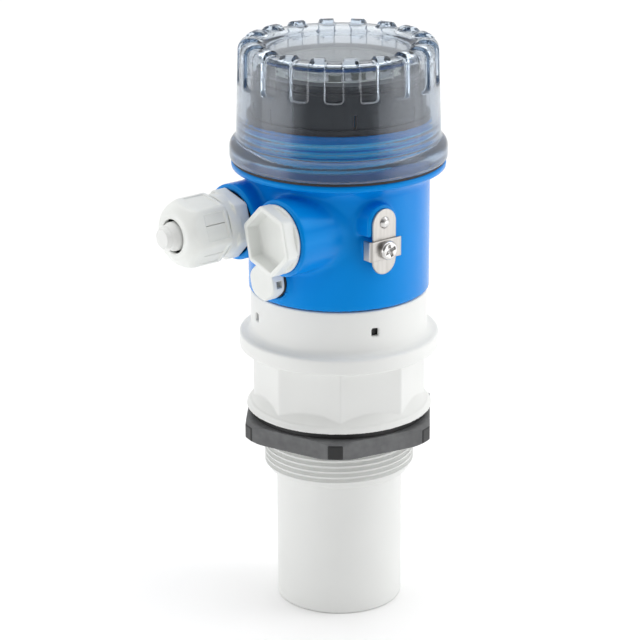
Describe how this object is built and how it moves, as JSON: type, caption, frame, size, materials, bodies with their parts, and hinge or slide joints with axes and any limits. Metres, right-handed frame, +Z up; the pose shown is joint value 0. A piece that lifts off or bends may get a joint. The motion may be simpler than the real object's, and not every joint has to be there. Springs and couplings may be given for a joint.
{
  "type": "level transmitter",
  "caption": "Compact level transmitter with a plastic screwed process connection, counter nut, swivelling blue housing, two cable entries, ground terminal and clear grooved screw cover.",
  "frame": {"origin": "centre of the sensor's lower face, which is the measuring datum", "axes": "+Z up the device axis, the two cable entries face -X, the ground terminal faces -Y"},
  "size_m": [0.1171, 0.0846, 0.2293],
  "materials": {
    "white_plastic": "satin moulded polypropylene",
    "blue_plastic": "satin moulded plastic",
    "clear_plastic": "smoke-tinted transparent plastic",
    "gland_plastic": "satin moulded nylon",
    "grey_plastic": "matt glass-filled nylon",
    "dark_plastic": "matt",
    "light_plastic": "matt",
    "rubber": "matt elastomer",
    "potting": "cast resin",
    "ceramic": "matt",
    "board": "circuit board laminate",
    "glass": "display glass",
    "steel": "stainless"
  },
  "bodies": {
    "sensor": {"sensor_body": "white_plastic", "transducer_disc": "ceramic", "encapsulation": "potting", "sensor_board": "board", "retaining_ring": "steel"},
    "nut_seal": {"process_seal": "rubber"},
    "nut": {"counter_nut": "grey_plastic"},
    "head": {"housing": "blue_plastic", "swivel_seal": "rubber", "main_board": "board", "terminal_block": "dark_plastic", "terminal_screws": "steel", "seat_ring": "dark_plastic", "display_case": "dark_plastic", "display_board": "board", "display_frame": "light_plastic", "display_glass": "glass", "gland_body": "gland_plastic", "gland_o_ring": "rubber", "ground_strip": "steel", "ground_rivet": "steel"},
    "key_a": {"key_left": "rubber"},
    "key_b": {"key_middle": "rubber"},
    "key_c": {"key_right": "rubber"},
    "lid_seal": {"cover_seal": "rubber"},
    "lid": {"cover": "clear_plastic"},
    "gland_insert": {"sealing_insert": "rubber", "transport_plug": "white_plastic"},
    "gland_nut": {"gland_cap": "gland_plastic"},
    "blank_seal": {"blanking_o_ring": "rubber"},
    "blank": {"blanking_plug": "gland_plastic"},
    "vent_seal": {"vent_o_ring": "rubber"},
    "vent": {"vent_plug": "gland_plastic"},
    "clamp": {"ground_clamp": "steel"},
    "clamp_screw": {"ground_screw": "steel"}
  },
  "joints": [
    {"name": "head_swivel", "type": "hinge", "parent": "sensor", "child": "head", "pos_m": [0, 0, 0.12], "axis": [0, 0, 1], "range_deg": [-175, 175]},
    {"name": "nut_advance", "type": "slide", "parent": "sensor", "child": "nut_seal", "axis": [0, 0, -1], "range_m": [0, 0.02309]},
    {"name": "nut_turn", "type": "hinge", "parent": "nut_seal", "child": "nut", "pos_m": [0, 0, 0.0757], "axis": [0, 0, -1], "range_deg": [0, 3636]},
    {"name": "lid_advance", "type": "slide", "parent": "head", "child": "lid_seal", "axis": [0, 0, 1], "range_m": [0, 0.0124]},
    {"name": "lid_turn", "type": "hinge", "parent": "lid_seal", "child": "lid", "pos_m": [0, 0, 0.19], "axis": [0, 0, 1], "range_deg": [0, 1454.4]},
    {"name": "gland_advance", "type": "slide", "parent": "head", "child": "gland_insert", "axis": [-1, 0, 0], "range_m": [0, 0.006]},
    {"name": "gland_turn", "type": "hinge", "parent": "gland_insert", "child": "gland_nut", "pos_m": [-0.06, 0.0142, 0.1613], "axis": [-1, 0, 0], "range_deg": [0, 1454.4]},
    {"name": "blank_advance", "type": "slide", "parent": "head", "child": "blank_seal", "axis": [-1, 0, 0], "range_m": [0, 0.009]},
    {"name": "blank_turn", "type": "hinge", "parent": "blank_seal", "child": "blank", "pos_m": [-0.045, -0.0142, 0.1613], "axis": [-1, 0, 0], "range_deg": [0, 2181.6]},
    {"name": "vent_advance", "type": "slide", "parent": "head", "child": "vent_seal", "axis": [-1, 0, 0], "range_m": [0, 0.006]},
    {"name": "vent_turn", "type": "hinge", "parent": "vent_seal", "child": "vent", "pos_m": [-0.038, -0.003, 0.1412], "axis": [-1, 0, 0], "range_deg": [0, 1454.4]},
    {"name": "clamp_advance", "type": "slide", "parent": "head", "child": "clamp", "axis": [0, -1, 0], "range_m": [0, 0.0028]},
    {"name": "clamp_turn", "type": "hinge", "parent": "clamp", "child": "clamp_screw", "pos_m": [-0.0106, -0.04, 0.1569], "axis": [0, -1, 0], "range_deg": [0, 1454.4]},
    {"name": "left_key_press", "type": "slide", "parent": "head", "child": "key_a", "axis": [0, 0, -1], "range_m": [0, 0.0008], "stiffness_N_per_m": 600, "springref_m": -0.001},
    {"name": "middle_key_press", "type": "slide", "parent": "head", "child": "key_b", "axis": [0, 0, -1], "range_m": [0, 0.0008], "stiffness_N_per_m": 600, "springref_m": -0.001},
    {"name": "right_key_press", "type": "slide", "parent": "head", "child": "key_c", "axis": [0, 0, -1], "range_m": [0, 0.0008], "stiffness_N_per_m": 600, "springref_m": -0.001}
  ],
  "couplings": [
    {"joint": "nut_turn", "follows": "nut_advance", "rad_per_m": 2721.2},
    {"joint": "lid_turn", "follows": "lid_advance", "rad_per_m": 2026.8},
    {"joint": "gland_turn", "follows": "gland_advance", "rad_per_m": 4188.8},
    {"joint": "blank_turn", "follows": "blank_advance", "rad_per_m": 4188.8},
    {"joint": "vent_turn", "follows": "vent_advance", "rad_per_m": 4188.8},
    {"joint": "clamp_turn", "follows": "clamp_advance", "rad_per_m": 8976}
  ]
}
